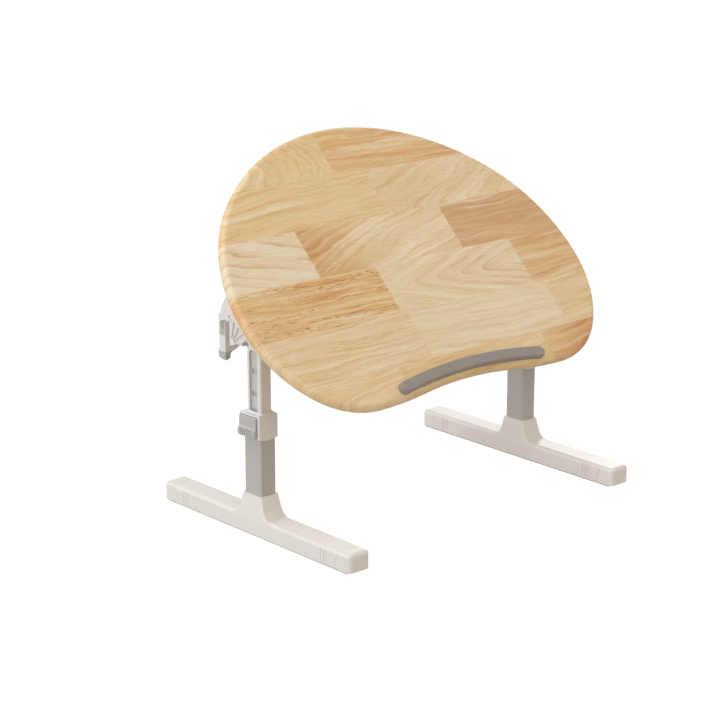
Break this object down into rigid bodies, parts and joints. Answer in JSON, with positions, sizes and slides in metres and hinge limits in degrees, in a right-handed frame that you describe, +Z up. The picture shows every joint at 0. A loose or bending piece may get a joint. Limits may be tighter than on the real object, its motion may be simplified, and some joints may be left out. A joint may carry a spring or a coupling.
{
  "type": "folding desk",
  "caption": "Low folding lap desk: a kidney-shaped tilted wooden top with a curved stop bar, on two fold-in legs with sliding height tubes and long flat feet.",
  "frame": {"origin": "on the floor, midway between the two feet and midway along them", "axes": "+X to the desk's right as its user sees it, along the top's width; +Y to the rear, away from the user; +Z up"},
  "size_m": [0.6, 0.376, 0.4814],
  "materials": {
    "wood": "clear satin lacquer on finger-jointed rubberwood",
    "bar_plastic": "fine matt",
    "white_plastic": "moulded semi-gloss",
    "grey_plastic": "moulded satin",
    "rail_plastic": "moulded satin",
    "white_painted_steel": "smooth powder coat",
    "grey_painted_steel": "smooth powder coat",
    "steel_plate": "zinc plated",
    "bright_steel": "zinc plated",
    "dark_rubber": "anti-slip strip"
  },
  "bodies": {
    "top": {"tabletop": "wood", "stop_bar": "bar_plastic", "left_hinge_plate": "steel_plate", "left_hinge_screws": "bright_steel", "left_fold_pins": "bright_steel", "left_catch_pin": "bright_steel", "left_catch_spring": "bright_steel", "right_hinge_plate": "steel_plate", "right_hinge_screws": "bright_steel", "right_fold_pins": "bright_steel", "right_catch_pin": "bright_steel", "right_catch_spring": "bright_steel"},
    "left_catch": {"left_fold_catch": "grey_plastic"},
    "left_bracket": {"left_sector_bracket": "white_plastic", "left_tilt_pin": "white_plastic"},
    "left_head": {"left_leg_housing": "white_plastic", "left_lever_pin": "bright_steel", "left_lever_spring": "bright_steel", "left_upper_tube": "white_painted_steel", "left_tube_head_cap": "white_plastic", "left_head_rivets": "bright_steel", "left_notch_rail": "rail_plastic", "left_glide_bush": "grey_plastic"},
    "left_lever": {"left_lever": "white_plastic", "left_lever_grips": "grey_plastic"},
    "left_lower_leg": {"left_lower_tube": "grey_painted_steel", "left_collar": "white_plastic", "left_button_pin": "bright_steel", "left_button_spring": "bright_steel", "left_foot": "white_plastic", "left_foot_end_caps": "white_plastic", "left_foot_pad": "dark_rubber", "left_tube_plug": "grey_plastic", "left_foot_screws": "bright_steel"},
    "left_button": {"left_height_button": "grey_plastic"},
    "right_catch": {"right_fold_catch": "grey_plastic"},
    "right_bracket": {"right_sector_bracket": "white_plastic", "right_tilt_pin": "white_plastic"},
    "right_head": {"right_leg_housing": "white_plastic", "right_lever_pin": "bright_steel", "right_lever_spring": "bright_steel", "right_upper_tube": "white_painted_steel", "right_tube_head_cap": "white_plastic", "right_head_rivets": "bright_steel", "right_notch_rail": "rail_plastic", "right_glide_bush": "grey_plastic"},
    "right_lever": {"right_lever": "white_plastic", "right_lever_grips": "grey_plastic"},
    "right_lower_leg": {"right_lower_tube": "grey_painted_steel", "right_collar": "white_plastic", "right_button_pin": "bright_steel", "right_button_spring": "bright_steel", "right_foot": "white_plastic", "right_foot_end_caps": "white_plastic", "right_foot_pad": "dark_rubber", "right_tube_plug": "grey_plastic", "right_foot_screws": "bright_steel"},
    "right_button": {"right_height_button": "grey_plastic"}
  },
  "joints": [
    {"name": "left_catch_press", "type": "hinge", "parent": "top", "child": "left_catch", "pos_m": [-0.213, -0.05931, 0.24517], "axis": [0, -0.7026, -0.7115], "range_deg": [0, 12], "stiffness_Nm_per_rad": 0.05, "springref_deg": -5.73, "deforming": ["left_catch_spring"]},
    {"name": "left_fold", "type": "hinge", "parent": "top", "child": "left_bracket", "pos_m": [-0.23, -0.03354, 0.27269], "axis": [0, -0.7026, -0.7115], "range_deg": [0, 90]},
    {"name": "left_tilt", "type": "hinge", "parent": "left_bracket", "child": "left_head", "pos_m": [-0.245, -0.0105, 0.264], "axis": [1, 0, 0], "range_deg": [0, 45.36]},
    {"name": "left_lever_squeeze", "type": "hinge", "parent": "left_head", "child": "left_lever", "pos_m": [-0.235, 0.055, 0.262], "axis": [-1, 0, 0], "range_deg": [0, 12], "stiffness_Nm_per_rad": 0.3, "springref_deg": -6.88, "deforming": ["left_lever_spring"]},
    {"name": "left_height", "type": "slide", "parent": "left_head", "child": "left_lower_leg", "axis": [0, 0, 1], "range_m": [-0.03, 0.06]},
    {"name": "left_button_press", "type": "hinge", "parent": "left_lower_leg", "child": "left_button", "pos_m": [-0.2576, 0.00375, 0.1475], "axis": [0, -1, 0], "range_deg": [0, 9], "stiffness_Nm_per_rad": 0.2, "springref_deg": -5.73, "deforming": ["left_button_spring"]},
    {"name": "right_catch_press", "type": "hinge", "parent": "top", "child": "right_catch", "pos_m": [0.213, -0.05931, 0.24517], "axis": [0, 0.7026, 0.7115], "range_deg": [0, 12], "stiffness_Nm_per_rad": 0.05, "springref_deg": -5.73, "deforming": ["right_catch_spring"]},
    {"name": "right_fold", "type": "hinge", "parent": "top", "child": "right_bracket", "pos_m": [0.23, -0.03354, 0.27269], "axis": [0, 0.7026, 0.7115], "range_deg": [0, 90]},
    {"name": "right_tilt", "type": "hinge", "parent": "right_bracket", "child": "right_head", "pos_m": [0.245, -0.0105, 0.264], "axis": [1, 0, 0], "range_deg": [0, 45.36]},
    {"name": "right_lever_squeeze", "type": "hinge", "parent": "right_head", "child": "right_lever", "pos_m": [0.235, 0.055, 0.262], "axis": [-1, 0, 0], "range_deg": [0, 12], "stiffness_Nm_per_rad": 0.3, "springref_deg": -6.88, "deforming": ["right_lever_spring"]},
    {"name": "right_height", "type": "slide", "parent": "right_head", "child": "right_lower_leg", "axis": [0, 0, 1], "range_m": [-0.03, 0.06]},
    {"name": "right_button_press", "type": "hinge", "parent": "right_lower_leg", "child": "right_button", "pos_m": [0.2576, 0.00375, 0.1475], "axis": [0, 1, 0], "range_deg": [0, 9], "stiffness_Nm_per_rad": 0.2, "springref_deg": -5.73, "deforming": ["right_button_spring"]}
  ],
  "couplings": [
    {"joint": "right_tilt", "follows": "left_tilt", "ratio": 1}
  ]
}
